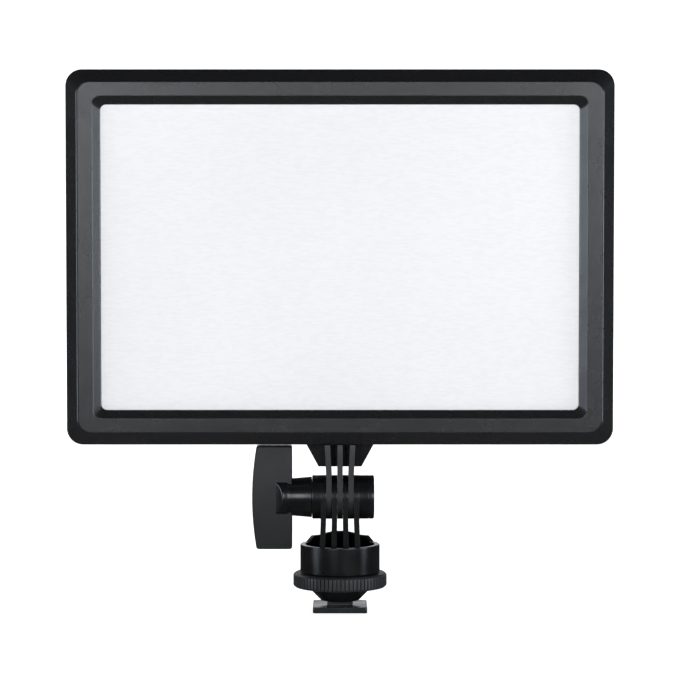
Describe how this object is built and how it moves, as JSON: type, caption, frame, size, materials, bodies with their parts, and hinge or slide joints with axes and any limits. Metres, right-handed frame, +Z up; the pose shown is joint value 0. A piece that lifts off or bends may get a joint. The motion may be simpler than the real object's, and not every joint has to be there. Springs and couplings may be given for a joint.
{
  "type": "led panel light",
  "caption": "Flat rectangular LED panel light on a ribbed tilt hinge with a wing knob, knurled lock wheel and accessory-shoe foot.",
  "frame": {"origin": "centre of the underside of the shoe foot", "axes": "+Z up, the light shines towards -Y, +X is to the right when the window is looked at"},
  "size_m": [0.1854, 0.032, 0.1843],
  "materials": {
    "case_plastic": "black ABS, fine spark-eroded texture on the flat band and the back",
    "hinge_plastic": "semi-gloss black nylon",
    "knob_plastic": "black nylon, fine matte texture",
    "diffuser": "opal acrylic with a fine line texture",
    "clear_acrylic": "polished clear acrylic",
    "white_film": "white reflective film",
    "aluminium": "plain rolled sheet",
    "steel": "zinc plated",
    "black_steel": "blackened screws",
    "brass": "machined",
    "circuit_board": "green solder mask",
    "components": "moulded packages",
    "daylight_phosphor": "yellow phosphor",
    "tungsten_phosphor": "orange phosphor",
    "lead_insulation": "flat flexible lead",
    "foam": "closed-cell foam",
    "contact_gold": "gold flash",
    "control_plastic": "dark grey ABS",
    "lens": "tinted light pipe"
  },
  "bodies": {
    "mount": {"shoe_foot": "hinge_plastic", "tripod_insert": "brass", "lower_bracket": "hinge_plastic", "tilt_bolt": "steel", "bolt_cap": "hinge_plastic"},
    "clamp": {"clamp_washer": "hinge_plastic"},
    "wheel": {"lock_wheel": "hinge_plastic", "wheel_insert": "brass"},
    "thrust_washer": {"knob_washer": "steel"},
    "knob": {"tilt_knob": "knob_plastic", "knob_insert": "brass"},
    "head": {"tilt_bracket": "hinge_plastic", "bracket_screws": "black_steel", "front_bezel": "case_plastic", "diffuser_sheet": "diffuser", "light_guide": "clear_acrylic", "reflector_sheet": "white_film", "heat_spreader": "aluminium", "led_strip_left": "circuit_board", "led_strip_right": "circuit_board", "daylight_leds": "daylight_phosphor", "tungsten_leds": "tungsten_phosphor", "strip_leads": "lead_insulation", "foam_strips": "foam", "rear_cover": "case_plastic", "case_screws": "black_steel", "driver_board": "circuit_board", "board_components": "components", "board_screws": "steel", "potentiometers": "steel", "switch_body": "components", "dc_jack": "components", "battery_plate": "case_plastic", "plate_screws": "black_steel", "battery_contacts": "contact_gold", "latch_spring": "steel", "indicator_lenses": "lens"},
    "brightness_control": {"brightness_dial": "control_plastic", "brightness_shaft": "steel"},
    "colour_control": {"colour_dial": "control_plastic", "colour_shaft": "steel"},
    "switch_slider": {"power_switch": "control_plastic"},
    "latch": {"battery_latch": "control_plastic"}
  },
  "joints": [
    {"name": "head_tilt", "type": "hinge", "parent": "mount", "child": "head", "pos_m": [0, 0, 0.0388], "axis": [1, 0, 0], "range_deg": [-90, 90]},
    {"name": "knob_slide", "type": "slide", "parent": "mount", "child": "thrust_washer", "axis": [-1, 0, 0], "range_m": [0, 0.0008]},
    {"name": "knob_turn", "type": "hinge", "parent": "thrust_washer", "child": "knob", "pos_m": [-0.015, 0, 0.0388], "axis": [-1, 0, 0], "range_deg": [0, 360]},
    {"name": "clamp_slide", "type": "slide", "parent": "mount", "child": "clamp", "axis": [0, 0, 1], "range_m": [-0.0012, 0]},
    {"name": "wheel_turn", "type": "hinge", "parent": "clamp", "child": "wheel", "pos_m": [0, 0, 0.0105], "axis": [0, 0, 1], "range_deg": [-345, 0]},
    {"name": "brightness_turn", "type": "hinge", "parent": "head", "child": "brightness_control", "pos_m": [-0.064, 0.0076, 0.1378], "axis": [0, 1, 0], "range_deg": [0, 280]},
    {"name": "colour_turn", "type": "hinge", "parent": "head", "child": "colour_control", "pos_m": [-0.064, 0.0076, 0.1078], "axis": [0, 1, 0], "range_deg": [0, 280]},
    {"name": "switch_slide", "type": "slide", "parent": "head", "child": "switch_slider", "axis": [1, 0, 0], "range_m": [0, 0.003]},
    {"name": "latch_slide", "type": "slide", "parent": "head", "child": "latch", "axis": [0, 0, 1], "range_m": [-0.0025, 0], "stiffness_N_per_m": 250, "springref_m": 0.003, "deforming": ["latch_spring"]}
  ],
  "couplings": [
    {"joint": "knob_turn", "follows": "knob_slide", "rad_per_m": 7854},
    {"joint": "wheel_turn", "follows": "clamp_slide", "rad_per_m": 5026.6}
  ]
}
